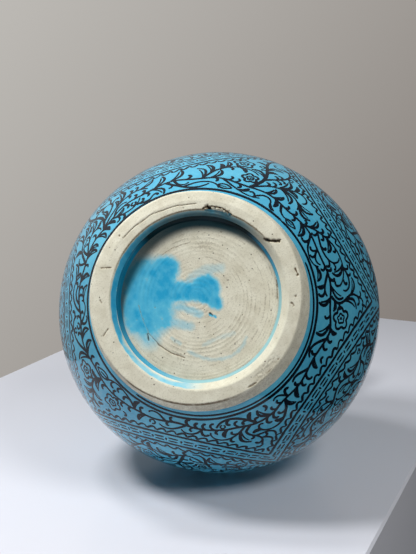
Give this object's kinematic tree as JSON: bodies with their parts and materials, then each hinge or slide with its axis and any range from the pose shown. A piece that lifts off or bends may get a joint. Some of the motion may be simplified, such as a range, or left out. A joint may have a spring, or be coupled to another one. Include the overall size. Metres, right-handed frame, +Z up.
{
  "type": "glazed ceramic vase",
  "caption": "Globular turquoise-glazed ceramic vase with a bare clay foot ring, recessed base, short waisted neck and flared rounded lip, for flowers or display.",
  "frame": {"origin": "centre of the standing face of the foot ring", "axes": "+Z up the vase's axis of turning, from the foot to the mouth"},
  "size_m": [0.17, 0.17, 0.2148],
  "materials": {
    "stonepaste": "matt unglazed fired clay",
    "luting_slip": "matt fired slip",
    "turquoise_glaze": "glossy glaze"
  },
  "bodies": {
    "root": {"foot_ring": "stonepaste", "foot_luting": "luting_slip", "lower_body": "stonepaste", "belly_luting": "luting_slip", "upper_body": "stonepaste", "neck_luting": "luting_slip", "neck": "stonepaste", "outer_glaze": "turquoise_glaze", "inner_glaze": "turquoise_glaze", "well_glaze": "turquoise_glaze", "well_splash": "turquoise_glaze"}
  },
  "joints": []
}
